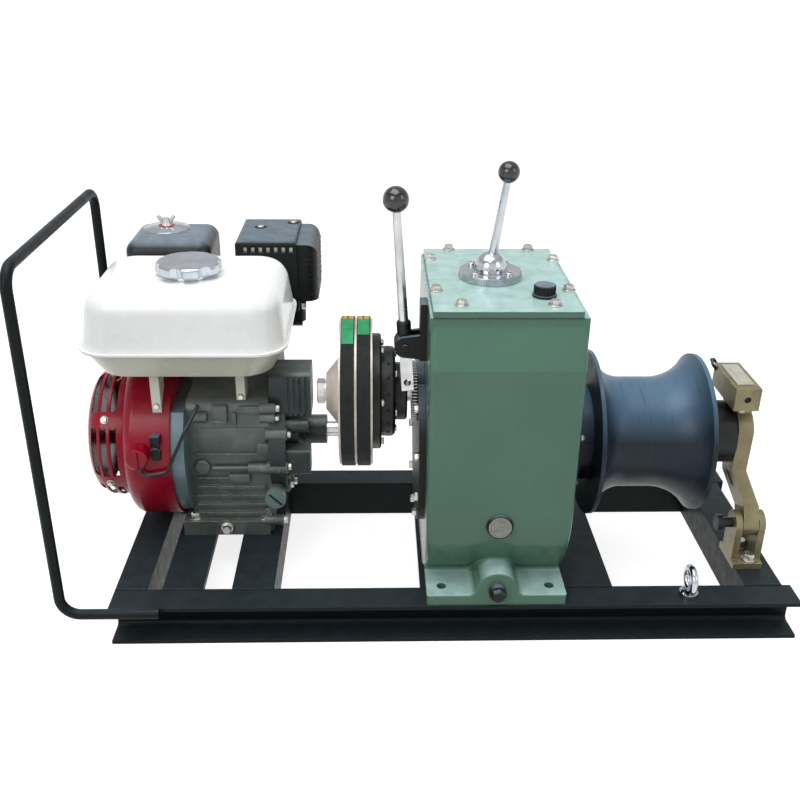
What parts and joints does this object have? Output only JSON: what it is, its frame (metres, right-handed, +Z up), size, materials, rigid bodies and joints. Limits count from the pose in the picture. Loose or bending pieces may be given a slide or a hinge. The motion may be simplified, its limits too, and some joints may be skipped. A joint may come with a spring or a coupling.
{
  "type": "cable pulling winch",
  "caption": "Engine-driven cable pulling winch: petrol engine, belt and lever clutch, two-lever gearbox and waisted bull wheel on a channel frame.",
  "frame": {"origin": "middle of the overall box on the floor", "axes": "+X from the engine to the bull wheel, +Y from the lever side to the rear, +Z up"},
  "size_m": [0.861, 0.4615, 0.5319],
  "materials": {
    "belt_rubber": "black belt rubber",
    "black_paint": "satin black paint on rolled steel",
    "black_plastic": "black moulded plastic",
    "black_steel": "heat resistant black paint",
    "bright_steel": "machined bright steel",
    "cast_alloy": "grey die-cast alloy",
    "cast_iron_wheel": "blue-black worn casting",
    "chrome": "polished chrome",
    "dark_steel": "oiled dark steel",
    "glass": "clear sight glass in a steel ring",
    "green_enamel": "sage green enamel",
    "grey_paint": "blue-grey paint",
    "pulley_steel": "bright rims on a cream web",
    "red_paint": "gloss red paint",
    "white_paint": "gloss white paint, cream below the seam",
    "yellow_zinc": "yellow passivated zinc plating"
  },
  "bodies": {
    "base": {"air_cleaner": "black_plastic", "back_flange": "grey_paint", "breather_cap": "black_plastic", "carburettor": "black_plastic", "clutch_bracket": "black_steel", "crankcase": "cast_alloy", "crankcase_cover": "cast_alloy", "cylinder": "cast_alloy", "cylinder_head": "cast_alloy", "cylinder_shroud": "black_steel", "drain_plug": "black_steel", "drive_belt_left": "belt_rubber", "drive_belt_right": "belt_rubber", "engine_channel": "black_paint", "engine_plate": "black_paint", "fan_housing": "red_paint", "front_rail": "black_paint", "fuel_cap": "chrome", "fuel_tank": "white_paint", "gearbox_cover": "green_enamel", "gearbox_housing": "green_enamel", "gearbox_plate": "black_paint", "handle_hoop": "black_paint", "hinge_pin": "dark_steel", "left_bearing_cover": "black_steel", "left_end_member": "black_paint", "lifting_eye": "chrome", "muffler": "black_steel", "oil_cap": "cast_alloy", "rear_rail": "black_paint", "recoil_cover": "red_paint", "right_bearing_cover": "black_steel", "right_end_member": "black_paint", "shift_flange": "chrome", "sight_glass": "glass", "stop_switch": "red_paint", "switch_wire": "black_plastic", "tail_bearing": "dark_steel", "tail_clevis": "yellow_zinc", "valve_cover": "cast_alloy"},
    "clutch_pulley_body": {"clutch_pulley": "pulley_steel", "friction_disc": "dark_steel", "pressure_plate": "dark_steel", "input_shaft": "bright_steel"},
    "engine_pulley_body": {"engine_pulley": "bright_steel", "crankshaft": "bright_steel"},
    "bull_wheel_body": {"bull_wheel": "cast_iron_wheel", "drum_shaft": "cast_iron_wheel"},
    "shift_pin_body": {"shift_pin": "bright_steel"},
    "shift_lever_body": {"shift_ball": "chrome", "shift_lever": "chrome", "shift_knob": "black_plastic"},
    "clutch_lever_body": {"clutch_lever": "bright_steel", "clutch_knob": "black_plastic"},
    "swing_arm_body": {"swing_arm": "yellow_zinc", "latch_block": "yellow_zinc"}
  },
  "joints": [
    {"name": "clutch_pulley_spin", "type": "hinge", "parent": "base", "child": "clutch_pulley_body", "pos_m": [-0.0895, -0.087, 0.265], "axis": [1, 0, 0], "continuous": true},
    {"name": "engine_pulley_spin", "type": "hinge", "parent": "base", "child": "engine_pulley_body", "pos_m": [-0.0895, 0.013, 0.164], "axis": [1, 0, 0], "continuous": true},
    {"name": "bull_wheel_spin", "type": "hinge", "parent": "base", "child": "bull_wheel_body", "pos_m": [0.2535, -0.076, 0.205], "axis": [1, 0, 0], "continuous": true},
    {"name": "gear_select", "type": "hinge", "parent": "base", "child": "shift_pin_body", "pos_m": [0.0625, -0.076, 0.413], "axis": [1, 0, 0], "range_deg": [-9, 9]},
    {"name": "gear_shift", "type": "hinge", "parent": "shift_pin_body", "child": "shift_lever_body", "pos_m": [0.0625, -0.076, 0.413], "axis": [0, 1, 0], "range_deg": [-20, 6]},
    {"name": "clutch_lever_swing", "type": "hinge", "parent": "base", "child": "clutch_lever_body", "pos_m": [-0.0345, -0.125, 0.34], "axis": [0, 1, 0], "range_deg": [-12, 4]},
    {"name": "swing_arm_open", "type": "hinge", "parent": "base", "child": "swing_arm_body", "pos_m": [0.3885, -0.122, 0.102], "axis": [1, 0, 0], "range_deg": [0, 80]}
  ],
  "couplings": [
    {"joint": "engine_pulley_spin", "follows": "clutch_pulley_spin", "ratio": 2}
  ]
}
